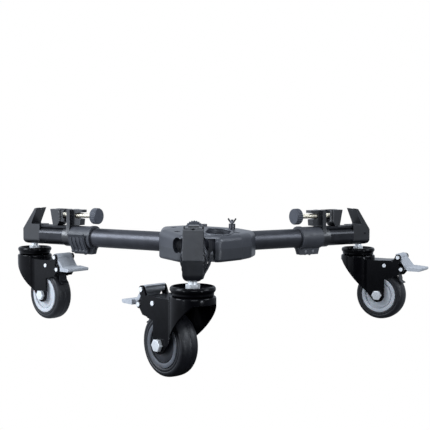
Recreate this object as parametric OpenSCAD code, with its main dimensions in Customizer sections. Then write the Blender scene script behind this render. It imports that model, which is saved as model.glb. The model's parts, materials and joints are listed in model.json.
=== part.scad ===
// Three-wheel folding dolly for a camera tripod.
// Origin: on the floor, in the middle of the footprint. +Z up, front arm along -Y.
// Each arm is drawn along +X in its own frame and then turned to its angle.

/* [Stance] */
// Distance from the hub axis to each caster stem
stem_reach = 290; // [280:1:310]
// Height of the arm tube axis above the floor
axis_z = 126.5; // [126:0.5:130]
// Swivel heading of the front caster, measured from +X
heading_front = 130.5; // [90:0.5:180]
// Swivel heading of the left caster, measured from +X
heading_left = -43.8; // [-60:0.2:0]
// Swivel heading of the right caster, measured from +X
heading_right = -32.3; // [-60:0.1:0]

/* [Arm tubes] */
// Outer diameter of the arm tube
tube_d = 28; // [27:0.5:29]
// Bore of the arm tube, in which the extension slides
tube_bore = 24; // [23:0.5:24.5]
// Diameter of the fold pivots
pivot_d = 8; // [6:0.5:10]

/* [Foot clamp] */
// Width of the end cap and of its hook
cap_w = 23; // [20:0.5:26]
// Height of the hook, the jaw and the bracket above the floor
clamp_top = 167.5; // [164:0.5:174]
// Diameter of the thumb screw
screw_d = 7; // [6:0.5:8]
// Diameter of the thumb screw's knob
knob_d = 24; // [20:1:26]

/* [Caster] */
// Wheel diameter
wheel_d = 75; // [72:1:76]
// Tyre width
tyre_w = 25; // [22:0.5:25]
// Trail of the wheel axle behind the stem
trail = 39.4; // [36:0.2:41]
// Diameter of the wheel axle
axle_d = 8; // [6:0.5:10]
// Diameter of the caster's stem
stem_d = 10; // [8:0.5:12]

/* [Hub] */
// Level of the hub's underside
hub_bottom = 106; // [104:0.5:108]
// Level of the parting face between the two hub shells
hub_seam = 124; // [120:0.5:126.5]
// Level of the hub's crown
hub_top = 148; // [146:0.5:150]
// Radius of the hand hole
hand_r = 17; // [14:0.5:18]

/* [Hidden] */
$fn = 64;
SIDE = ["front", "left", "right"];
ANGLE = [-90, 150, 30];
HEADING = [heading_front, heading_left, heading_right];
// Where each tube starts, and where the two folding ones are pinned
ROOT = [16, 22, 45.5];
PIVOT = [0, 36, 59.5];
// Where the hub axis stands, which puts the origin in the middle of the footprint
HUB_AT = [-37, 72.5, 0];
// Which way each arm folds, and how far
FOLD_WAY = [0, -1, 1];
fold_max = 52;

// Running clearance of a pin or a shaft, on the diameter
run = 0.2;
gap = 0.4;

// Stations along an arm
collar_0 = 174;
collar_1 = 212;
bracket_1 = 218.5;
ring_1 = 225.5;
cap_0 = stem_reach - 19;
cap_1 = stem_reach + 13;
inner_0 = 100;
tube_1 = 204;
knob_0 = 166.5;
knob_1 = 176.5;
screw_1 = 236;

// Levels of the clamp
rail_top = axis_z + 16;
cap_bottom = axis_z - 13.5;
cap_ledge = axis_z + 17;
screw_z = axis_z + 32.2;
rail_r = 13.6;
rail_w = 26;
inner_d = tube_bore - run;

// Levels of the caster
wheel_r = wheel_d / 2;
core_r = 26.7;
core_w = 26.2;
fork_in = 14.5;
fork_out = 17;
fork_wall = fork_out - fork_in;
drum_r = 26;
roof_1 = 91;
roof_back = 61;
crown_1 = 96.5;
race_0 = 97;
race_1 = 107.4;
race_floor = 100.2;
pin_x = 71.6;
pin_z = 97;
low_pin_x = 76.8;
low_pin_z = 79.3;
pin_d = 4;
PINS = [[50.2, 83.6], [pin_x, pin_z], [low_pin_x, low_pin_z]];

// Corners of the hub in plan
HUB_CORNERS = [[-41, 42], [-41, -2], [-17, -47], [30, -48], [56, -22], [69, 2], [75, 25], [76, 42], [58, 62],
    [-14, 54]];
hub_corner_r = 10;
TOP_SCREW = [11.4, 44];
SUNK_SCREWS = [[-25, -22], [57, -10]];
sunk_z = 136;
hand_a = [30, -27];
hand_b = [33, -4];

// ---- shared shapes ----

// A rod along X between two stations
module rod_x(d, x0, x1, z = axis_z) {
    translate([x0, 0, z]) rotate([0, 90, 0]) cylinder(d = d, h = x1 - x0);
}

// A rod along Y, centred
module rod_y(d, w, x = 0, z = 0) {
    translate([x, w / 2, z]) rotate([90, 0, 0]) cylinder(d = d, h = w);
}

// A slab drawn as a side view (x, z) and given a width along Y
module side_view(w) {
    translate([0, w / 2, 0]) rotate([90, 0, 0]) linear_extrude(w) children();
}

// A slab drawn as an end view (y, z) and given a length along X
module end_view(x0, x1) {
    translate([x0, 0, 0]) rotate([90, 0, 90]) linear_extrude(x1 - x0) children();
}

// A hexagon bar: across flats af, height h
module hex(af, h) {
    cylinder(d = af / cos(30), h = h, $fn = 6);
}

module at_hub() {
    translate(HUB_AT) children();
}

module on_arm(i) {
    at_hub() rotate([0, 0, ANGLE[i]]) children();
}

module on_caster(i) {
    on_arm(i) translate([stem_reach, 0, 0]) rotate([0, 0, HEADING[i] - ANGLE[i]]) children();
}

// ---- hub ----

module hub_puck(h, edge) {
    rotate_extrude($fn = 32)
        polygon(concat([[0, h], [0, 0]],
            [for (a = [0:15:90]) [hub_corner_r - edge * (1 - sin(a)), edge * (1 - cos(a))]],
            [[hub_corner_r, h]]));
}

// The space in which an arm's root sits and swings
module fold_slot(i) {
    half = tube_d / 2 + 0.5;
    on_arm(i) translate([PIVOT[i], 0, axis_z - half]) linear_extrude(2 * half) union() {
        circle(r = half + 0.1);
        for (k = [0:4]) rotate(FOLD_WAY[i] * fold_max * k / 4) translate([0, -half]) square([90, 2 * half]);
    }
}

module hand_hole() {
    dir = atan2(hand_b.y - hand_a.y, hand_b.x - hand_a.x);
    len = norm(hand_b - hand_a);
    at_hub() translate([hand_a.x, hand_a.y, hub_bottom - 1]) rotate([0, 0, dir]) {
        cylinder(r = hand_r, h = 50);
        translate([len, 0, 0]) cylinder(r = hand_r, h = 50);
        translate([0, -hand_r, 0]) cube([len, 2 * hand_r, 50]);
    }
}

// Mouth of the front socket: wide to the left, with its rim scooped out that way, and notched on the right
mouth_r = 14.5;
mouth_z = 128;
side_r = 10.6;
side_y = -15.5;

module front_mouth() {
    on_arm(0) {
        for (y = [0, 4]) translate([0, y, mouth_z - axis_z]) rod_x(2 * mouth_r, 31, 70);
        translate([0, side_y, mouth_z - axis_z]) rod_x(2 * side_r, 31, 70);
        translate([31, side_y, mouth_z - side_r]) cube([39, -side_y, 2 * side_r]);
        translate([42, side_y, mouth_z + 0.8]) rotate([0, 90, -45]) cylinder(r = side_r, h = 40);
        translate([48, 12, hub_bottom - 1]) cube([20, 10, 33]);
        translate([53, 12, hub_bottom - 1]) cube([15, 15, 33]);
        translate([53, 22, hub_bottom - 1]) cylinder(r = 5, h = 33);
    }
}

module hub_cuts() {
    on_arm(0) rod_x(tube_d, ROOT[0], 60);
    front_mouth();
    fold_slot(1);
    fold_slot(2);
    hand_hole();
    for (i = [1, 2]) on_arm(i) translate([PIVOT[i], 0, 0]) cylinder(d = pivot_d, h = 200);
    for (p = concat([TOP_SCREW], SUNK_SCREWS)) at_hub() translate([p.x, p.y, 0]) cylinder(d = 5, h = 200);
}

module hub_lower() {
    color("#3d424d") difference() {
        at_hub() translate([0, 0, hub_bottom]) hull() for (p = HUB_CORNERS)
            translate([p.x, p.y, 0]) hub_puck(hub_seam - hub_bottom, 4);
        hub_cuts();
    }
}

// The hub's top is slightly domed: highest at CROWN, and lower by this much at a corner
CROWN = [-10, 30];
dome_r = 600;
function fall(p) = dome_r - sqrt(pow(dome_r, 2) - pow(norm(p - CROWN), 2));

module hub_upper() {
    color("#3d424d") difference() {
        at_hub() hull() {
            for (p = HUB_CORNERS) translate([p.x, p.y, hub_top - fall(p)]) mirror([0, 0, 1])
                hub_puck(hub_top - fall(p) - hub_seam, 9);
            translate([CROWN.x, CROWN.y, hub_seam]) cylinder(r = 20, h = hub_top - hub_seam);
        }
        hub_cuts();
        // Seats for the two screws that are sunk below the top
        for (p = SUNK_SCREWS) at_hub() translate([p.x, p.y, sunk_z]) cylinder(d = 9, h = 20);
    }
}

module hub_screws() {
    color("#8a8f98") {
        for (p = SUNK_SCREWS) at_hub() translate([p.x, p.y, 0]) {
            translate([0, 0, hub_bottom]) cylinder(d = 5, h = sunk_z - hub_bottom);
            translate([0, 0, sunk_z]) cylinder(d = 8.4, h = 4);
        }
        at_hub() translate([TOP_SCREW.x, TOP_SCREW.y, 0]) {
            translate([0, 0, hub_bottom]) cylinder(d = 5, h = hub_top - hub_bottom);
            translate([0, 0, hub_top - 0.5]) cylinder(d = 9, h = 3);
        }
    }
}

head_d = 13;
head_h = 2.5;
post_0 = 144.5;
post_1 = 152;
stud_d = 4;

module pivot_left() {
    color("#8a8f98") on_arm(1) translate([PIVOT[1], 0, 0]) {
        translate([0, 0, hub_bottom - head_h]) cylinder(d = head_d, h = head_h);
        translate([0, 0, hub_bottom]) cylinder(d = pivot_d, h = hub_top - hub_bottom - 3);
    }
}

module pivot_right() {
    color("#6d727c") on_arm(2) translate([PIVOT[2], 0, 0]) {
        translate([0, 0, hub_bottom - head_h]) cylinder(d = head_d, h = head_h);
        translate([0, 0, hub_bottom]) cylinder(d = pivot_d, h = post_0 - hub_bottom);
        translate([0, 0, post_0]) cylinder(d = 9.5, h = post_1 - post_0);
        translate([0, 0, post_1]) cylinder(d = stud_d, h = 6);
    }
}

module wing_nut() {
    color("#565a60") on_arm(2) translate([PIVOT[2], 0, post_1 + 1]) rotate([0, 0, -40]) difference() {
        union() {
            cylinder(d1 = 7, d2 = 5.6, h = 3.6);
            side_view(1.4) polygon([[-3, 0.6], [3, 0.6], [6.2, 5.2], [6, 7], [4.6, 7], [2.4, 3.4],
                [-2.4, 3.4], [-4.6, 7], [-6, 7], [-6.2, 5.2]]);
        }
        translate([0, 0, -1]) cylinder(d = stud_d + run, h = 10);
    }
}

// ---- arm tube and flip lock ----

module arm_tube(i) {
    color("#17181c") on_arm(i) difference() {
        union() {
            rod_x(tube_d, PIVOT[i] > 0 ? PIVOT[i] : ROOT[i], tube_1);
            if (PIVOT[i] > 0) intersection() {
                rod_x(tube_d, ROOT[i] - 1, PIVOT[i] + 1);
                translate([PIVOT[i], 0, axis_z - tube_d]) cylinder(d = tube_d, h = 2 * tube_d);
            }
        }
        rod_x(tube_bore, ROOT[i] - 5, tube_1 + 1);
        if (PIVOT[i] > 0) translate([PIVOT[i], 0, 0]) cylinder(d = pivot_d + run, h = 200);
    }
}

collar_d = 33;
ear_z = 106.4;
ear_bottom = 101.5;
BOLT_X = [186, 199];
ear_w = 11;

module collar(i) {
    color("#24262c") on_arm(i) difference() {
        union() {
            rod_x(collar_d, collar_0, collar_1);
            rod_x(collar_d + 2, collar_0, collar_0 + 5);
            // Trapezoid ear that the clamp bolt pulls together
            side_view(ear_w) polygon([[172.5, axis_z - 8], [collar_1, axis_z - 8], [collar_1, 113.5],
                [208.5, ear_bottom], [176.5, ear_bottom], [172.5, 113.5]]);
            // Two pips under the ear, one on each side of its slit
            for (k = [0, 1]) translate([190 + 5 * k, 2.4 - 4.8 * k, ear_bottom - 1.3]) cylinder(d = 3, h = 2);
        }
        rod_x(tube_d, collar_0 - 5, tube_1);
        rod_x(tube_bore, tube_1 - 1, collar_1 + 1);
        translate([collar_0 - 5, -0.75, 100]) cube([50, 1.5, 20]);
        for (x = BOLT_X) rod_y(4, 30, x, ear_z);
    }
}

module clamp_bolt(i) {
    color("#8a8f98") on_arm(i) for (x = BOLT_X) rod_y(4, ear_w, x, ear_z);
}

lever_y = 9.2;
lever_x0 = 180;
lever_x1 = 209;

// The lever's plate in end view: from the pin up to the finger lip
module lever_section() {
    translate([lever_y, ear_z]) circle(r = 3);
    polygon([[7.4, 108.8], [10.6, 103.9], [12.6, 109.9], [16.3, 116], [19.2, 122], [20.2, 127.8], [23, 131.8],
        [22.4, 134.2], [20.4, 132.8], [18.4, 128.6], [17.6, 124], [16.6, 119.6], [13.8, 114.2], [10.4, 110]]);
}

module lever(i) {
    color("#202228") on_arm(i) {
        end_view(lever_x0, lever_x1) lever_section();
        // Grip ribs that follow the plate's outer face
        for (x = [182, 189, 196, 203]) end_view(x, x + 2.6)
            polygon([[9.2, 103.1], [11.4, 103.9], [13.5, 109.4], [17.2, 115.6], [20.1, 121.6], [21, 127.4],
                [19, 127.4], [17, 119.8], [13.8, 114.2], [9.2, 108.6]]);
    }
}

// ---- extension ----

module rail_section() {
    difference() {
        union() {
            intersection() {
                translate([0, axis_z]) circle(r = rail_r);
                translate([-rail_w / 2, 100]) square([rail_w, 40]);
            }
            translate([-6, axis_z]) square([12, rail_top - axis_z]);
            translate([-9.5, rail_top - 2.8]) square([19, 2.8]);
        }
        // Guide slot for the jaw's tongue
        translate([-3, rail_top - 3.6]) square([6, 5]);
    }
}

module rail(i) {
    color("#1a1b20") on_arm(i) {
        end_view(collar_1 + gap, cap_0) rail_section();
        difference() {
            rod_x(inner_d, inner_0, collar_1 + gap + 0.1);
            rod_x(inner_d - 4, inner_0 - 1, collar_1);
        }
        rod_x(18, cap_0 - 0.1, cap_0 + 8);
    }
}

cap_inner_r = 8;

// The end cap's end view: straight sides, rounded underside
module cap_section() {
    for (s = [-1, 1])
        translate([s * (cap_w / 2 - cap_inner_r), cap_bottom + cap_inner_r]) circle(r = cap_inner_r);
    translate([-cap_w / 2 + cap_inner_r, cap_bottom]) square([cap_w - 2 * cap_inner_r, 20]);
    translate([-cap_w / 2, cap_bottom + cap_inner_r]) square([cap_w, 60]);
}

module end_cap(i) {
    slope = atan2(clamp_top - (axis_z + 10.2), cap_1 - (stem_reach - 9.3));
    color("#3d424d") on_arm(i) difference() {
        intersection() {
            side_view(cap_w) polygon([[cap_0, cap_bottom], [cap_1 - 5, cap_bottom],
                [cap_1 - 1.5, cap_bottom + 1.5], [cap_1, cap_bottom + 5], [cap_1, axis_z + 10.2],
                [stem_reach - 9.3, clamp_top],
                [stem_reach - 14, clamp_top + 1], [stem_reach - 3.4, cap_ledge + 2],
                [stem_reach - 3.4, cap_ledge], [cap_0, cap_ledge]]);
            end_view(cap_0 - 1, cap_1 + 1) cap_section();
            // Slightly rounded back of the hook
            translate([cap_1, 0, axis_z + 10.2]) rotate([0, -90 + slope, 0])
                translate([-44.5, 0, -80]) cylinder(r = 45.6, h = 160, $fn = 128);
        }
        // V in the hook's face, in which the tripod foot centres itself
        translate([stem_reach - 14, 0, clamp_top + 1]) rotate([0, -90 + atan2(23.5, -10.6), 0])
            rotate([0, 0, 45]) translate([-2.6, -2.6, -60]) cube([5.2, 5.2, 100]);
        rod_x(18, cap_0 - 1, cap_0 + 8);
        translate([stem_reach, 0, cap_bottom - 1]) cylinder(d = stem_d, h = 13);
        // Blind hole in the side
        translate([stem_reach + 3.8, -cap_w / 2 - 1, axis_z + 3.5]) rotate([-90, 0, 0])
            cylinder(d = 3, h = 4);
    }
}

module bracket(i) {
    color("#3d424d") on_arm(i) difference() {
        union() {
            // Ring round the rail, and the plate that stands on it
            rod_x(30, collar_1 + gap, ring_1);
            end_view(collar_1 + gap, bracket_1) polygon([[-15, axis_z], [15, axis_z], [12.2, axis_z + 16],
                [12, clamp_top], [-12, clamp_top], [-12.2, axis_z + 16]]);
            // Web on the hub side, with a recess round the screw
            side_view(12) polygon([[194, clamp_top], [bracket_1, clamp_top], [bracket_1, 144.2], [198, 144.2],
                [197, 153.6], [205, 154.6], [207.5, 156], [207.5, 161.5], [199, 163.5], [194, 163.5]]);
        }
        end_view(collar_1, ring_1 + 1) rail_section();
        end_view(collar_1, ring_1 + 1) translate([-3.1, rail_top - 4]) square([6.2, 4.1]);
        rod_x(screw_d + run, 190, 230, screw_z);
    }
}

module thumb_screw(i) {
    color("#d9c48a") on_arm(i) rod_x(screw_d, knob_0 + 2, screw_1, screw_z);
}

module knob(i) {
    color("#2b2f38") on_arm(i) difference() {
        union() {
            rod_x(knob_d - 1.6, knob_0, knob_1, screw_z);
            // Knurl of 24 round ribs
            for (k = [0:23]) translate([knob_0 + 1, 0, screw_z]) rotate([k * 15, 0, 0])
                translate([0, knob_d / 2 - 1.1, 0]) rotate([0, 90, 0]) cylinder(r = 1.1, h = 8, $fn = 16);
        }
        rod_x(screw_d, knob_0 + 2, knob_1 + 1, screw_z);
    }
}

module jaw(i) {
    foot_z = rail_top + 0.35;
    color("#30343d") on_arm(i) difference() {
        union() {
            side_view(20) polygon([[224, clamp_top], [251, clamp_top], [246, foot_z], [238, foot_z],
                [234, 149], [224, 149]]);
            translate([238, -2.7, foot_z - 3]) cube([8, 5.4, 4]);
        }
        // Open pocket round the screw's tip
        translate([220, -6.5, 151]) cube([21, 13, 20]);
        // Slot through both cheeks, past the screw
        translate([222, -15, 153.5]) cube([7.3, 30, 10.5]);
        // Scooped cheeks
        for (y = [-1, 1]) translate([229, y * 13, 140]) cylinder(r = 6, h = 40);
        rod_x(screw_d + run, 220, screw_1 + run, screw_z);
        // V in the clamping face
        translate([252.7, 0, clamp_top + 8]) rotate([0, atan2(5, 26), 0]) translate([0, 0, -60])
            rotate([0, 0, 45]) translate([-2.4, -2.4, 0]) cube([4.8, 4.8, 80]);
    }
}

// ---- caster ----

stem_0 = 88.2;
washer_h = 1.4;

module stem(i) {
    color("#b9bcc2") on_caster(i) {
        translate([0, 0, stem_0]) cylinder(d = stem_d, h = cap_bottom + 12 - stem_0);
        translate([0, 0, stem_0 - head_h]) cylinder(d = 18, h = head_h + 0.1);
        translate([0, 0, race_floor]) cylinder(d = 20, h = washer_h);
        translate([0, 0, race_floor + washer_h]) hex(14, 7.9);
    }
}

module top_race(i) {
    color("#111214") on_caster(i) rotate_extrude()
        polygon([[stem_d / 2, race_0], [22.4, race_0], [23.6, race_0 + 1], [23.6, race_0 + 3.4],
            [24.7, race_0 + 4.6], [25.5, race_1 - 4], [25.4, race_1 - 2.2], [24.4, race_1 - 0.6],
            [22.8, race_1], [21.4, race_1 - 0.8], [18.4, race_floor + 0.6], [15, race_floor],
            [stem_d / 2, race_floor]]);
}

nose_z = 95.5;
end_r = 10.5;
bend_r = 8;

// Side view of the fork's walls: cut off on the slant under the nose, round at the axle
module fork_outline() {
    reach = trail + drum_r;
    drop = nose_z - wheel_r;
    slant = -atan2(drop, reach) - asin(end_r / norm([reach, drop])) - 90;
    translate([trail, wheel_r]) circle(r = end_r);
    polygon([[-drum_r, crown_1], [-drum_r, nose_z],
        [trail + end_r * cos(slant), wheel_r + end_r * sin(slant)], [trail, wheel_r],
        [trail + end_r, wheel_r], [trail + end_r, 64], [roof_back, 66], [roof_back, crown_1]]);
}

// Plan of the fork: a drum round the stem and two flat walls behind it, joined by soft bends
module fork_plan(inset, back) {
    drum = drum_r - inset;
    wall = fork_out - inset;
    bend = bend_r + inset;
    bend_at = sqrt(pow(drum + bend, 2) - pow(wall + bend, 2));
    circle(r = drum);
    translate([0, -wall]) square([back, 2 * wall]);
    for (s = [-1, 1]) difference() {
        polygon([[0, 0], [bend_at, s * (wall + bend)], [bend_at, 0]]);
        translate([bend_at, s * (wall + bend)]) circle(r = bend);
    }
}

// Lobes behind the walls, which carry the two brake pins
module lobes() {
    side_view(2 * fork_out) union() {
        polygon([[42, 66], [53.8, 65.6], [69.7, 68.2], [75, 74.5], [78, 80], [72, 86], [75, 93], [70, 101],
            [66.6, 97], [63.4, 90], [59.7, 91.8], [42, roof_1]]);
        translate([pin_x, pin_z]) circle(r = 4.6);
        translate([low_pin_x, low_pin_z]) circle(r = 4.6);
    }
}

module fork(i) {
    color("#0f1012") on_caster(i) difference() {
        union() {
            intersection() {
                linear_extrude(roof_1) fork_plan(0, roof_back);
                side_view(60) fork_outline();
            }
            lobes();
            // Crown of the fork
            rotate_extrude() polygon([[stem_d / 2, roof_1 - fork_wall], [drum_r, roof_1 - fork_wall],
                [drum_r, crown_1 - 2.4], [drum_r - 0.7, crown_1 - 0.8], [drum_r - 2.4, crown_1],
                [stem_d / 2, crown_1]]);
        }
        translate([0, 0, -1]) linear_extrude(roof_1 - fork_wall + 1) fork_plan(fork_wall, 100);
        translate([roof_back - 1, -fork_in, 40]) cube([60, 2 * fork_in, 80]);
        cylinder(d = stem_d + run, h = 200);
        rod_y(axle_d, 60, trail, wheel_r);
        for (p = PINS) rod_y(pin_d, 60, p.x, p.y);
    }
}

module axle(i) {
    color("#c4c7cc") on_caster(i) translate([trail, 0, wheel_r]) {
        rod_y(axle_d, 2 * fork_out + 9);
        for (s = [-1, 1]) rotate([-90 * s, 0, 0]) translate([0, 0, fork_out]) hex(13, 4.9);
    }
}

module brake_pins(i) {
    color("#c4c7cc") on_caster(i) {
        for (p = PINS) {
            rod_y(pin_d, 2 * fork_out, p.x, p.y);
            for (s = [-1, 1]) translate([0, s * (fork_out + 0.65), 0]) rod_y(5.6, 1.3, p.x, p.y);
        }
    }
}

module brake_pedal(i) {
    w = 2 * fork_in - 0.8;
    tab_w = 38;
    color("#b5b8be") on_caster(i) difference() {
        union() {
            side_view(w) polygon([[66.6, 101.2], [68.6, 102.4], [71.4, 102], [85, 84.8], [88, 83.5],
                [88, 77.8], [86.4, 77.6], [84, 79], [70.6, 97], [68, 98]]);
            // Foot tab, wider than the gap between the cheeks
            side_view(tab_w) polygon([[87.4, 83.6], [106.4, 82.2], [107.4, 80], [105.6, 77.8], [87.4, 77.7]]);
            rod_y(8.4, w, pin_x, pin_z);
        }
        rod_y(pin_d + run, 60, pin_x, pin_z);
    }
}

// A wheel's profile from its upper half: the same points again, mirrored
function both_ways(p) = concat(p, [for (k = [len(p) - 1:-1:0]) [p[k].x, -p[k].y]]);

module wheel_core(i) {
    half = core_w / 2;
    color("#c8ccd6") on_caster(i) translate([trail, 0, wheel_r]) rotate([90, 0, 0]) rotate_extrude()
        polygon(both_ways([[core_r, half - 1], [core_r - 1, half], [21.6, half - 0.6], [21, half - 2],
            [8, half - 2], [8, half + 0.8], [axle_d / 2 + run / 2, half + 0.8]]));
}

module tyre(i) {
    half = tyre_w / 2;
    color("#141517") on_caster(i) translate([trail, 0, wheel_r]) rotate([90, 0, 0]) rotate_extrude($fn = 96)
        polygon(both_ways([[wheel_r, half - 8.5], [wheel_r - 0.7, half - 5], [wheel_r - 2.1, half - 2.2],
            [wheel_r - 5, half - 0.2], [core_r + 2.6, half], [core_r, half - 0.8]]));
}

hub_upper();
hub_lower();
hub_screws();
pivot_left();
pivot_right();
wing_nut();
for (i = [0:2]) arm_tube(i);
for (i = [0:2]) collar(i);
for (i = [0:2]) clamp_bolt(i);
for (i = [0:2]) lever(i);
for (i = [0:2]) rail(i);
for (i = [0:2]) end_cap(i);
for (i = [0:2]) bracket(i);
for (i = [0:2]) thumb_screw(i);
for (i = [0:2]) knob(i);
for (i = [0:2]) jaw(i);
for (i = [0:2]) stem(i);
for (i = [0:2]) top_race(i);
for (i = [0:2]) fork(i);
for (i = [0:2]) axle(i);
for (i = [0:2]) brake_pins(i);
for (i = [0:2]) brake_pedal(i);
for (i = [0:2]) wheel_core(i);
for (i = [0:2]) tyre(i);
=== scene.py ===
"""Folding tripod dolly: telescoping arms on a cast hub, foot clamps, braked swivel casters."""
import json
import math

import bmesh
import bpy
from mathutils import Matrix, Vector


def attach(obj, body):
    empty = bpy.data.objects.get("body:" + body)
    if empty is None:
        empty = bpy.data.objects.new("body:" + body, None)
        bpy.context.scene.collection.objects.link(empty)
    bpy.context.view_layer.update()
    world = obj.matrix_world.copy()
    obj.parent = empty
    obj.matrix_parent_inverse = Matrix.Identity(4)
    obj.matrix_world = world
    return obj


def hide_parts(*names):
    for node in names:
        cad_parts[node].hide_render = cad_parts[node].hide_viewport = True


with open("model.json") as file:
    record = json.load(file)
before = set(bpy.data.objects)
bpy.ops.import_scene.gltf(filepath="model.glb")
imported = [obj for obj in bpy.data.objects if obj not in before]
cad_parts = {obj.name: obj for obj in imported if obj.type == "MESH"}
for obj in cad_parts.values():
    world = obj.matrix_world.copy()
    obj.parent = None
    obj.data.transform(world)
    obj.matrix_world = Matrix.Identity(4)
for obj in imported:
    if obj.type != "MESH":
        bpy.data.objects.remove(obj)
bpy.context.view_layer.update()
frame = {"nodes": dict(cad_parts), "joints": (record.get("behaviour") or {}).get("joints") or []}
MM = 0.001
SIDES = ("front", "left", "right")
# Distance of each screw joint from the hub axis, and where its threaded rod starts and ends, in millimetres
SCREW_X, ROD_START, ROD_END = 200, 170, 236
JOINTS = {j["name"]: j for j in frame["joints"]}
SCENE = bpy.context.scene
SCENE.view_settings.view_transform = "Standard"


# ---- camera ----

def make_camera():
    yaw, pitch, roll = math.radians(0.54), math.radians(3.72), math.radians(0.19)
    look = Vector((math.sin(yaw) * math.cos(pitch), math.cos(yaw) * math.cos(pitch), -math.sin(pitch)))
    level = Vector((math.cos(yaw), -math.sin(yaw), 0))
    up = level.cross(look)
    right = level * math.cos(roll) + up * math.sin(roll)
    up = right.cross(look)
    data = bpy.data.cameras.new("photo_camera")
    data.lens, data.sensor_width = 79.5, 36
    data.clip_start, data.clip_end = 0.01, 50
    camera = bpy.data.objects.new("photo_camera", data)
    SCENE.collection.objects.link(camera)
    turn = Matrix((right, up, -look)).transposed().to_4x4()
    camera.matrix_world = Matrix.Translation((-0.02262, -1.2522, 0.25258)) @ turn
    SCENE.camera = camera


# ---- local frames, taken from the joints ----

def upright(at, x_axis, y_axis):
    """A frame on the floor below a point, with Z straight up."""
    turn = Matrix((x_axis, y_axis, (0, 0, 1))).transposed().to_4x4()
    return Matrix.Translation((at.x, at.y, 0)) @ turn


def arm_frame(side):
    """X out along the arm from the hub axis, Y to its left, Z up from the floor."""
    axis = Vector(JOINTS["telescope_" + side]["axis"]).normalized()
    across = Vector((0, 0, 1)).cross(axis)
    start = Vector(JOINTS["screw_turn_" + side]["pos_m"]) - axis * SCREW_X * MM
    return upright(start, axis, across)


def caster_frame(side):
    """X from the stem towards the wheel axle, Y along the axle, Z up from the floor."""
    stem = Vector(JOINTS["caster_swivel_" + side]["pos_m"])
    across = Vector(JOINTS["wheel_spin_" + side]["axis"]).normalized()
    trail = across.cross(Vector((0, 0, 1)))
    return upright(stem, trail, across)


# ---- materials ----

class Shader:
    """A Principled material with a few helpers for its node tree."""

    def __init__(self, name, **sockets):
        self.material = bpy.data.materials.new(name)
        self.material.use_nodes = True
        self.tree = self.material.node_tree
        self.bsdf = self.tree.nodes["Principled BSDF"]
        for key, value in sockets.items():
            self.bsdf.inputs[key.replace("_", " ")].default_value = value
        self.coords = self.node("ShaderNodeTexCoord").outputs["Object"]

    def node(self, kind, **values):
        made = self.tree.nodes.new(kind)
        for key, value in values.items():
            if hasattr(made, key):
                setattr(made, key, value)
            else:
                made.inputs[key].default_value = value
        return made

    def link(self, a, b):
        self.tree.links.new(a, b)

    def noise(self, scale, detail=3.0, roughness=0.55, stretch=None):
        """Noise at a scale in cells per metre, drawn out along an axis by stretch=(x, y, z)."""
        found = self.node("ShaderNodeTexNoise", Scale=scale, Detail=detail, Roughness=roughness)
        if stretch:
            mapping = self.node("ShaderNodeMapping", Scale=stretch)
            self.link(self.coords, mapping.inputs["Vector"])
            self.link(mapping.outputs["Vector"], found.inputs["Vector"])
        else:
            self.link(self.coords, found.inputs["Vector"])
        return found.outputs["Fac"]

    def remap(self, value, low, high, start=0.3, end=0.7):
        ends = {"From Min": start, "From Max": end, "To Min": low, "To Max": high}
        made = self.node("ShaderNodeMapRange", **ends)
        self.link(value, made.inputs["Value"])
        return made.outputs["Result"]

    def mix(self, factor, dark, light):
        made = self.node("ShaderNodeMix", data_type="RGBA")
        made.inputs[6].default_value = (*dark, 1)
        made.inputs[7].default_value = (*light, 1)
        self.link(factor, made.inputs["Factor"])
        return made.outputs[2]

    def colour(self, factor, dark, light):
        self.link(self.mix(factor, dark, light), self.bsdf.inputs["Base Color"])

    def rough(self, value, low, high):
        self.link(self.remap(value, low, high), self.bsdf.inputs["Roughness"])

    def bump(self, height, depth, strength=1.0):
        """Bump of a real depth in metres; a second call adds to the first."""
        made = self.node("ShaderNodeBump", Strength=strength, Distance=depth)
        self.link(height, made.inputs["Height"])
        old = self.bsdf.inputs["Normal"].links
        if old:
            self.link(old[0].from_socket, made.inputs["Normal"])
        self.link(made.outputs["Normal"], self.bsdf.inputs["Normal"])

    def edges(self, radius, light):
        """Paint lighter along the sharp edges, partly rubbed wear and partly a painted highlight where the edges
        catch the light.
        """
        bevel = self.node("ShaderNodeBevel", Radius=radius)
        geometry = self.node("ShaderNodeNewGeometry")
        dot = self.node("ShaderNodeVectorMath", operation="DOT_PRODUCT")
        self.link(bevel.outputs["Normal"], dot.inputs[0])
        self.link(geometry.outputs["Normal"], dot.inputs[1])
        mask = self.remap(dot.outputs["Value"], 1.0, 0.0, 0.72, 0.97)
        broken = self.node("ShaderNodeMath", operation="MULTIPLY")
        self.link(mask, broken.inputs[0])
        self.link(self.remap(self.noise(420, 4), 0.0, 1.0, 0.42, 0.62), broken.inputs[1])
        base = self.bsdf.inputs["Base Color"]
        made = self.node("ShaderNodeMix", data_type="RGBA")
        made.inputs[7].default_value = (*light, 1)
        self.link(base.links[0].from_socket, made.inputs[6])
        self.link(broken.outputs["Value"], made.inputs["Factor"])
        self.link(made.outputs[2], base)


def hub_paint(name, dark, light):
    """Satin charcoal powder paint over a casting."""
    s = Shader(name, Metallic=0.25, Specular_IOR_Level=0.9, Coat_Weight=0.25, Coat_Roughness=0.32)
    s.colour(s.remap(s.noise(60, 4), 0, 1), dark, light)
    s.rough(s.noise(140, 4), 0.36, 0.44)
    s.bump(s.noise(2600, 2), 0.00003, 0.3)
    s.bump(s.noise(200, 2), 0.00006, 0.15)
    s.edges(0.0005, (0.13, 0.14, 0.17))
    return s.material


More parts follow.
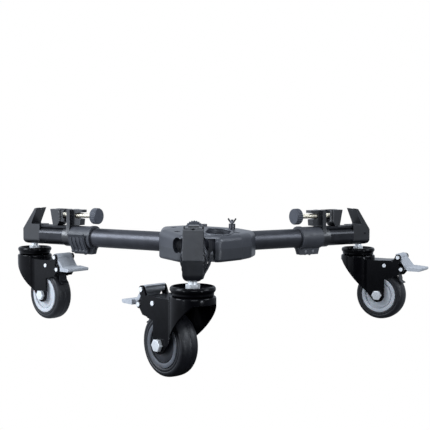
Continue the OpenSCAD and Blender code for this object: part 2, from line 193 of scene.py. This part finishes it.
def cap_paint():
    """The same paint on the small castings, a shade darker."""
    s = Shader("cap_paint", Metallic=0.1, Specular_IOR_Level=0.85, Coat_Weight=0.1, Coat_Roughness=0.4)
    s.colour(s.remap(s.noise(90, 4), 0, 1), (0.003, 0.0035, 0.005), (0.006, 0.007, 0.010))
    s.rough(s.noise(160, 4), 0.31, 0.38)
    s.bump(s.noise(2400, 2), 0.00003, 0.4)
    s.edges(0.0007, (0.22, 0.23, 0.27))
    return s.material


def tube_black():
    """Black anodised tube with a faint fine grain."""
    s = Shader("tube_black", Metallic=0.55)
    s.colour(s.remap(s.noise(80, 3), 0, 1), (0.036, 0.037, 0.044), (0.048, 0.050, 0.059))
    s.rough(s.noise(220, 4), 0.33, 0.39)
    s.bump(s.noise(3500, 2), 0.00001, 0.3)
    s.edges(0.0005, (0.12, 0.13, 0.15))
    return s.material


def rail_black():
    s = Shader("rail_black", Metallic=0.5)
    s.colour(s.remap(s.noise(80, 3), 0, 1), (0.014, 0.015, 0.018), (0.024, 0.025, 0.030))
    s.rough(s.noise(220, 4), 0.26, 0.34)
    s.bump(s.noise(3500, 2), 0.00001, 0.3)
    s.edges(0.0005, (0.09, 0.10, 0.12))
    return s.material


def moulded(name, dark, light, low, high, grain=2200, depth=0.00009):
    """Moulded plastic with a fine spark-eroded grain."""
    s = Shader(name)
    s.colour(s.remap(s.noise(110, 4), 0, 1), dark, light)
    s.rough(s.noise(180, 3), low, high)
    cells = s.node("ShaderNodeTexVoronoi", Scale=grain)
    s.link(s.coords, cells.inputs["Vector"])
    s.bump(cells.outputs["Distance"], depth, 0.5)
    s.bump(s.noise(500, 3), 0.0001, 0.2)
    return s


def plated(name, dark, light, low, high, metallic=1.0):
    """Zinc or brass plated steel: soft clouding, fine scratches and small pits."""
    s = Shader(name, Metallic=metallic)
    s.colour(s.remap(s.noise(240, 5, 0.65), 0, 1), dark, light)
    s.rough(s.noise(700, 4), low, high)
    s.bump(s.noise(900, 3, 0.6, (1, 1, 0.06)), 0.00005, 0.35)
    s.bump(s.noise(4200, 2), 0.00002, 0.4)
    return s


def pedal_zinc():
    """Pale plated sheet, brushed across its width."""
    s = plated("pedal_zinc", (0.36, 0.38, 0.41), (0.49, 0.51, 0.54), 0.38, 0.52, 0.4)
    s.edges(0.0006, (0.82, 0.84, 0.87))
    return s.material


def fork_black():
    """Gloss black stoved enamel with a slight orange peel."""
    s = Shader("fork_black", Specular_IOR_Level=0.05, Coat_Weight=0.16, Coat_Roughness=0.1)
    s.colour(s.remap(s.noise(100, 3), 0, 1), (0.0015, 0.0015, 0.002), (0.003, 0.003, 0.004))
    s.rough(s.noise(260, 3), 0.18, 0.26)
    s.bump(s.noise(300, 2), 0.00006, 0.12)
    s.bump(s.noise(2600, 2), 0.00001, 0.2)
    s.edges(0.0004, (0.05, 0.05, 0.06))
    return s.material


def tyre_black():
    """Satin rubber, in patches a dusty grey."""
    s = Shader("tyre_black", Specular_IOR_Level=0.42)
    s.colour(s.remap(s.noise(130, 5, 0.62), 0, 1), (0.005, 0.005, 0.007), (0.011, 0.012, 0.015))
    s.rough(s.noise(320, 4), 0.38, 0.52)
    s.bump(s.noise(1500, 4), 0.00008, 0.5)
    return s.material


def core_nylon(name, dark, light):
    """Nylon with faint flow marks."""
    s = Shader(name, Subsurface_Weight=0.06, Subsurface_Scale=0.002)
    s.colour(s.remap(s.noise(90, 4), 0, 1), dark, light)
    s.rough(s.noise(260, 3), 0.30, 0.42)
    s.bump(s.noise(900, 3), 0.00006, 0.35)
    return s.material


def make_materials():
    lock = moulded("lock_plastic", (0.030, 0.032, 0.039), (0.045, 0.048, 0.057), 0.42, 0.55)
    lock.edges(0.0006, (0.12, 0.125, 0.14))
    knob = moulded("knob_plastic", (0.036, 0.040, 0.052), (0.052, 0.058, 0.074), 0.45, 0.58)
    knob.edges(0.0005, (0.14, 0.15, 0.17))
    black = plated("black_steel", (0.055, 0.056, 0.062), (0.10, 0.10, 0.11), 0.3, 0.42)
    dark = plated("dark_steel", (0.20, 0.20, 0.22), (0.34, 0.34, 0.36), 0.28, 0.42)
    zinc = plated("zinc", (0.76, 0.78, 0.80), (0.90, 0.92, 0.93), 0.26, 0.4, 0.55)
    brass = plated("screw_brass", (0.74, 0.68, 0.54), (0.88, 0.84, 0.72), 0.28, 0.4, 0.8)
    return {
        "hub": hub_paint("hub_paint", (0.025, 0.028, 0.037), (0.035, 0.039, 0.050)),
        # The lower shell gets a darker copy of the hub paint as painted shade.
        "hub_low": hub_paint("hub_paint_painted_shade", (0.013, 0.015, 0.021), (0.020, 0.023, 0.030)),
        "cap": cap_paint(), "tube": tube_black(), "rail": rail_black(),
        "lock": lock.material, "knob": knob.material, "brass": brass.material,
        "black_steel": black.material, "dark_steel": dark.material, "zinc": zinc.material,
        "fork": fork_black(), "pedal": pedal_zinc(), "tyre": tyre_black(),
        # The front core is a darker copy of the grey nylon as painted shade, and its dish gets a nearly black
        # one as painted shade.
        "front_core_painted_shade": core_nylon("front_core_painted_shade", (0.07, 0.075, 0.085), (0.10, 0.105, 0.12)),
        "core_grey": core_nylon("core_grey", (0.46, 0.48, 0.51), (0.54, 0.56, 0.59)),
        "dish_painted_shade": core_nylon("dish_painted_shade", (0.014, 0.015, 0.018), (0.03, 0.032, 0.038)),
    }


# hub_low, worn by hub_lower, is the hub paint darkened as painted shade.
LOOK = {
    "hub_upper": "hub", "hub_lower": "hub_low", "hub_screws": "black_steel", "pivot": "black_steel",
    "wing_nut": "black_steel", "arm_tube": "tube", "collar": "lock", "clamp_bolt": "dark_steel",
    "lever": "lock", "rail": "rail", "end_cap": "cap", "bracket": "cap", "thumb_screw": "brass",
    "knob": "knob", "jaw": "cap", "stem": "zinc", "top_race": "fork", "fork": "fork", "axle": "zinc",
    "brake_pins": "zinc", "brake_pedal": "pedal", "wheel_core": "core_grey", "tyre": "tyre",
}
# Width of the rounding on each kind of part's edges, in millimetres
ROUNDING = {
    "hub_upper": 1.2, "hub_lower": 0.9, "end_cap": 0.9, "bracket": 0.7, "jaw": 0.7, "collar": 0.6,
    "lever": 0.5, "fork": 0.7, "brake_pedal": 0.5, "knob": 0.35, "arm_tube": 0.3, "rail": 0.3,
    "axle": 0.5, "stem": 0.4, "brake_pins": 0.6, "top_race": 0.3, "wing_nut": 0.25, "hub_screws": 0.5,
    "pivot": 0.6, "clamp_bolt": 0.4, "thumb_screw": 0.5,
}


def kind_of(node):
    for side in SIDES:
        node = node.removesuffix("_" + side)
    return node


def round_edges(piece, width):
    """Rounds the sharp edges and shades the rest smooth, without touching the mesh."""
    weld = piece.modifiers.new("weld", "WELD")
    weld.merge_threshold = 0.00001
    bevel = piece.modifiers.new("bevel", "BEVEL")
    bevel.width = width * MM
    bevel.segments = 3
    bevel.limit_method = "ANGLE"
    bevel.angle_limit = math.radians(35)
    bevel.use_clamp_overlap = True
    bevel.harden_normals = False
    piece.data.polygons.foreach_set("use_smooth", [True] * len(piece.data.polygons))
    normals = piece.modifiers.new("normals", "WEIGHTED_NORMAL")
    normals.weight = 80
    normals.keep_sharp = False


def dress_nodes(looks):
    for name, piece in frame["nodes"].items():
        kind = kind_of(name)
        piece.data.materials.clear()
        piece.data.materials.append(looks[LOOK[kind]])
        if kind in ROUNDING:
            round_edges(piece, ROUNDING[kind])


# ---- mesh pieces, drawn in millimetres in a local frame ----

def make_piece(name, shape, place, body, look, sharp=40, stands_for=()):
    """A smooth-shaded mesh that rides on a body, with its normals made to face outwards."""
    verts, faces = shape
    mesh = bpy.data.meshes.new(name)
    mesh.from_pydata([place @ (Vector(v) * MM) for v in verts], [], faces)
    work = bmesh.new()
    work.from_mesh(mesh)
    bmesh.ops.recalc_face_normals(work, faces=work.faces)
    for face in work.faces:
        face.smooth = True
    for edge in work.edges:
        edge.smooth = len(edge.link_faces) == 2 and edge.calc_face_angle(0) < math.radians(sharp)
    work.to_mesh(mesh)
    work.free()
    piece = bpy.data.objects.new(name, mesh)
    SCENE.collection.objects.link(piece)
    mesh.materials.append(look)
    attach(piece, body)
    if stands_for:
        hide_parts(*stands_for)
    return piece


def moved(shape, matrix):
    return [matrix @ Vector(v) for v in shape[0]], shape[1]


def revolve(profile, steps=96):
    """A closed profile of (radius, height) turned about Z."""
    n = len(profile)
    verts = [(r * math.cos(a), r * math.sin(a), h)
             for a in (2 * math.pi * k / steps for k in range(steps)) for r, h in profile]
    faces = [(k * n + i, (k + 1) % steps * n + i, (k + 1) % steps * n + (i + 1) % n, k * n + (i + 1) % n)
             for k in range(steps) for i in range(n)]
    return verts, faces


def strip(path, thick, width):
    """A bent sheet: a path of (x, z) points given a thickness and a width along Y."""
    points = [Vector(p) for p in path]
    sides = []
    for k, point in enumerate(points):
        along = (points[min(k + 1, len(points) - 1)] - points[max(k - 1, 0)]).normalized()
        off = Vector((-along.y, along.x)) * thick / 2
        sides.append((point + off, point - off))
    outline = [a for a, _ in sides] + [b for _, b in reversed(sides)]
    n = len(outline)
    verts = [(p.x, y, p.y) for y in (-width / 2, width / 2) for p in outline]
    faces = [(i, (i + 1) % n, n + (i + 1) % n, n + i) for i in range(n)]
    last = len(points) - 1
    for base in (0, n):
        faces += [(base + k, base + k + 1, base + n - 2 - k, base + n - 1 - k) for k in range(last)]
    return verts, faces


def arc(centre, radius, start, end, steps):
    """Points on an arc, with the angles in degrees."""
    turn = [math.radians(start + (end - start) * k / steps) for k in range(steps + 1)]
    return [(centre[0] + radius * math.cos(a), centre[1] + radius * math.sin(a)) for a in turn]


def sweep(path, radius, steps=10, closed=True):
    """A round bead along a path of 3-D points."""
    points = [Vector(p) for p in path]
    n = len(points)
    verts = []
    for k, point in enumerate(points):
        along = (points[(k + 1) % n] - points[k - 1]).normalized()
        side = along.cross(Vector((0, 0, 1))).normalized()
        up = side.cross(along)
        verts += [point + (side * math.cos(a) + up * math.sin(a)) * radius
                  for a in (2 * math.pi * i / steps for i in range(steps))]
    faces = [(k * steps + i, k * steps + (i + 1) % steps, (k + 1) % n * steps + (i + 1) % steps,
              (k + 1) % n * steps + i) for k in range(n) for i in range(steps)]
    return verts, faces


ALONG_X = Matrix.Rotation(math.radians(90), 4, "Y")
ALONG_Y = Matrix.Rotation(math.radians(-90), 4, "X")


# ---- wheels ----

# Outer radius of the dish in the wheel core, in millimetres
DISH_R = 20.9


def tyre_profile():
    """Half of the tyre's section from the rim to the crown, with a ridge and a groove on its wall."""
    wall = [(26.7, 11.7), (27.6, 12.25), (28.8, 12.45), (30.0, 12.45), (30.3, 12.1), (30.9, 12.1),
            (31.2, 12.4)]
    crown = []
    for k in range(13):
        t = math.radians(90 * k / 12)
        crown.append((32.0 + 5.38 * math.sin(t) ** 0.85, 12.45 * math.cos(t) ** 0.6 if k < 12 else 0.45))
    return wall + crown + [(37.5, 0.25)]


def core_profile():
    """Half of the nylon core's section: hub, dish, groove and rim band."""
    hub = [(4.15, 13.7), (4.5, 13.9), (7.4, 13.9), (8.0, 13.4), (8.3, 11.4)]
    dish = [(9.0, 10.9), (14.0, 10.7), (19.3, 11.3), (19.8, 11.1), (20.0, 9.9), (20.8, 9.9)]
    rim = [(21.0, 11.9), (21.5, 12.6), (22.4, 12.9), (25.4, 13.1), (26.2, 12.9), (26.65, 12.2)]
    return hub + dish + rim


def both_sides(half):
    return half + [(r, -h) for r, h in reversed(half)]


def axle_frame(side):
    """The wheel's own frame in the caster frame, in millimetres, with Z along the axle."""
    centre = caster_frame(side).inverted() @ Vector(JOINTS["wheel_spin_" + side]["pos_m"])
    return Matrix.Translation((centre.x / MM, 0, centre.z / MM)) @ ALONG_Y


def paint_dish_shade(core, side, look):
    """Painted shade on the front wheel: its dish is made nearly black, and only its rim band is grey, a darker
    grey that is itself painted shade.
    """
    joint = JOINTS["wheel_spin_" + side]
    centre, along = Vector(joint["pos_m"]), Vector(joint["axis"]).normalized()
    core.data.materials.append(look)
    for face in core.data.polygons:
        out = face.center - centre
        if (out - along * out.dot(along)).length < DISH_R * MM:
            face.material_index = 1


def make_wheels(looks):
    for side in SIDES:
        place, body, axle = caster_frame(side), "wheel_" + side, axle_frame(side)
        tyre = moved(revolve(both_sides(tyre_profile()), 128), axle)
        make_piece("rubber_tread_" + side, tyre, place, body, looks["tyre"], 50,
                   ["tyre_" + side])
        # The front wheel's core is darkened as painted shade.
        shade = "front_core_painted_shade" if side == "front" else "core_grey"
        core = moved(revolve(both_sides(core_profile()), 96), axle)
        core = make_piece("nylon_core_" + side, core, place, body, looks[shade], 32,
                          ["wheel_core_" + side])
        if side == "front":
            paint_dish_shade(core, side, looks["dish_painted_shade"])


# ---- thumb screws, with a real thread ----

def threaded_rod(start, end, z, outer=3.5, root=3.2, pitch=1.25, steps=24, rings=8):
    """A rod along X whose surface rises and falls as a right-hand thread, run out at both ends."""
    count = int((end - start) / pitch * rings)
    verts, faces = [], []
    for k in range(count + 1):
        x = start + (end - start) * k / count
        ends = min(1, (x - start) / pitch, (end - x) / pitch)
        for i in range(steps):
            phase = (x / pitch - i / steps) % 1
            height = min(1, max(0, 1.9 - abs(phase - 0.5) * 5))
            r = root - 0.3 * (1 - ends) + (outer - root) * height * ends
            a = 2 * math.pi * i / steps
            verts.append((x, r * math.sin(a), z + r * math.cos(a)))
    for k in range(count):
        for i in range(steps):
            j = (i + 1) % steps
            faces.append((k * steps + i, k * steps + j, (k + 1) * steps + j, (k + 1) * steps + i))
    faces.append(tuple(range(steps)))
    faces.append(tuple(range(count * steps, (count + 1) * steps)))
    return verts, faces


def make_screws(looks):
    for side in SIDES:
        joint = JOINTS["screw_turn_" + side]
        z = joint["pos_m"][2] / MM
        make_piece("threaded_rod_" + side, threaded_rod(ROD_START, ROD_END, z), arm_frame(side), "screw_" + side,
                   looks["brass"], 60, ["thumb_screw_" + side])


# ---- brake spring behind each wheel ----

def make_brake_springs(looks):
    path = [(62, 73), (66, 71.5)] + arc((66, 68), 3.5, 80, -10, 5) + [(70.4, 64.6)] \
        + arc((73.4, 62.2), 3.0, 190, 250, 4) + [(74.2, 58.4), (75.6, 57.2)]
    for side in SIDES:
        make_piece("brake_spring_" + side, strip(path, 1.1, 13), caster_frame(side), "fork_" + side,
                   looks["rail"], 40)


# ---- raised bead round the hand hole ----

HOLE_ENDS, HOLE_R = (Vector((30, -27)), Vector((33, -4))), 17


def top_of(node, x, y):
    """Height of a CAD node's top surface above a point, in metres."""
    inward = node.matrix_world.inverted()
    _, place, _, _ = node.ray_cast(inward @ Vector((x, y, 1)), inward.to_3x3() @ Vector((0, 0, -1)))
    return (node.matrix_world @ place).z


def make_hole_bead(looks):
    """A rounded lip that follows the hole over the hub's slightly domed top."""
    hub = arm_frame("front").translation / MM
    bpy.context.view_layer.update()
    along = math.degrees(math.atan2(*(HOLE_ENDS[1] - HOLE_ENDS[0]).yx))
    rim = arc(HOLE_ENDS[0], HOLE_R + 1, along + 90, along + 270, 24)
    rim += arc(HOLE_ENDS[1], HOLE_R + 1, along - 90, along + 90, 24)
    path = []
    for x, y in rim:
        x, y = x + hub.x, y + hub.y
        path.append((x, y, top_of(frame["nodes"]["hub_upper"], x * MM, y * MM) / MM))
    make_piece("hand_hole_bead", sweep(path, 1.5, 12), Matrix(), "hub", looks["hub"], 60)


# ---- stage and light ----

# How bright the room is on its right, back and top; on its left, front and below; and everywhere
ROOM_PLUS, ROOM_MINUS, ROOM_BASE = (0.38, 0.75, 0.52), (1.4, 0.0, 0.0), 0.01


def room_brightness(tree, direction):
    """The room's brightness in a direction: bright behind and to the left, dark where the camera stands."""
    total = None
    for sign, weights in ((1, ROOM_PLUS), (-1, ROOM_MINUS)):
        signed = tree.nodes.new("ShaderNodeVectorMath")
        signed.operation = "SCALE"
        signed.inputs["Scale"].default_value = sign
        tree.links.new(direction, signed.inputs[0])
        part = tree.nodes.new("ShaderNodeVectorMath")
        part.operation = "MAXIMUM"
        tree.links.new(signed.outputs["Vector"], part.inputs[0])
        square = tree.nodes.new("ShaderNodeVectorMath")
        square.operation = "MULTIPLY"
        weighted = tree.nodes.new("ShaderNodeVectorMath")
        weighted.operation = "DOT_PRODUCT"
        weighted.inputs[1].default_value = weights
        tree.links.new(part.outputs["Vector"], square.inputs[0])
        tree.links.new(part.outputs["Vector"], square.inputs[1])
        tree.links.new(square.outputs["Vector"], weighted.inputs[0])
        added = tree.nodes.new("ShaderNodeMath")
        added.inputs[1].default_value = ROOM_BASE
        tree.links.new(weighted.outputs["Value"], added.inputs[0])
        if total:
            tree.links.new(total, added.inputs[1])
        total = added.outputs["Value"]
    return total


def seen_or_light(tree, kind, light, out):
    """Plain white to the eye, and the room's brightness to every other ray."""
    seen, lit = tree.nodes.new(kind), tree.nodes.new(kind)
    lit.inputs["Color"].default_value = (0.82, 0.89, 1, 1)
    seen.inputs["Color"].default_value = (1, 1, 1, 1)
    tree.links.new(light, lit.inputs["Strength"])
    path = tree.nodes.new("ShaderNodeLightPath")
    mix = tree.nodes.new("ShaderNodeMixShader")
    tree.links.new(path.outputs["Is Camera Ray"], mix.inputs["Fac"])
    tree.links.new(lit.outputs[0], mix.inputs[1])
    tree.links.new(seen.outputs[0], mix.inputs[2])
    tree.links.new(mix.outputs["Shader"], out.inputs["Surface"])


def make_floor():
    """White paper out to the horizon, which gives back the room's light as a painted glow and has a painted
    shadow under the dolly.
    """
    size = 60
    mesh = bpy.data.meshes.new("floor")
    corners = [(-size, -size, 0), (size, -size, 0), (size, size, 0), (-size, size, 0)]
    mesh.from_pydata(corners, [], [(0, 1, 2, 3)])
    floor = bpy.data.objects.new("floor", mesh)
    SCENE.collection.objects.link(floor)
    paper = bpy.data.materials.new("floor_paper")
    paper.use_nodes = True
    tree = paper.node_tree
    tree.nodes.remove(tree.nodes["Principled BSDF"])
    place = tree.nodes.new("ShaderNodeTexCoord").outputs["Object"]
    reach = tree.nodes.new("ShaderNodeVectorMath")
    reach.operation = "LENGTH"
    heading = tree.nodes.new("ShaderNodeVectorMath")
    heading.operation = "NORMALIZE"
    tree.links.new(place, reach.inputs[0])
    tree.links.new(place, heading.inputs[0])
    # Painted shadow: the glow is dimmer close to the dolly.
    shade = tree.nodes.new("ShaderNodeMapRange")
    for key, value in {"From Min": 0.2, "From Max": 0.9, "To Min": 0.25, "To Max": 1.0}.items():
        shade.inputs[key].default_value = value
    tree.links.new(reach.outputs["Value"], shade.inputs["Value"])
    light = tree.nodes.new("ShaderNodeMath")
    light.operation = "MULTIPLY"
    tree.links.new(room_brightness(tree, heading.outputs["Vector"]), light.inputs[0])
    tree.links.new(shade.outputs["Result"], light.inputs[1])
    seen_or_light(tree, "ShaderNodeEmission", light.outputs["Value"], tree.nodes["Material Output"])
    floor.data.materials.append(paper)


def area_light(name, at, target, size, power):
    data = bpy.data.lights.new(name, "AREA")
    data.shape = "RECTANGLE"
    data.size, data.size_y = size
    data.energy = power
    data.color = (0.86, 0.92, 1)
    light = bpy.data.objects.new(name, data)
    SCENE.collection.objects.link(light)
    light.location = at
    light.rotation_euler = (Vector(target) - Vector(at)).to_track_quat("-Z", "Y").to_euler()


def make_world():
    world = bpy.data.worlds.new("studio")
    world.use_nodes = True
    tree = world.node_tree
    tree.nodes.clear()
    heading = tree.nodes.new("ShaderNodeTexCoord").outputs["Generated"]
    out = tree.nodes.new("ShaderNodeOutputWorld")
    seen_or_light(tree, "ShaderNodeBackground", room_brightness(tree, heading), out)
    SCENE.world = world


def make_lights():
    area_light("key_left", (-1.9, -0.5, 1.2), (-0.1, 0.1, 0.12), (1.0, 1.2), 48)
    area_light("key_right", (1.9, -0.5, 1.2), (0.1, 0.1, 0.12), (1.0, 1.0), 20)
    area_light("top", (0, -0.2, 2.2), (0, 0, 0.1), (1.6, 0.8), 20)
    area_light("front", (0.3, -2.4, 0.9), (0.1, 0, 0.1), (1.2, 0.6), 13)
    area_light("edge_right", (1.3, -1.5, 0.24), (0, 0, 0.12), (0.35, 0.4), 8)
    area_light("edge_left", (-1.05, -1.25, 0.24), (0, -0.1, 0.1), (0.16, 0.4), 3.5)


make_camera()
looks = make_materials()
dress_nodes(looks)
make_wheels(looks)
make_screws(looks)
make_brake_springs(looks)
make_hole_bead(looks)
make_floor()
make_world()
make_lights()
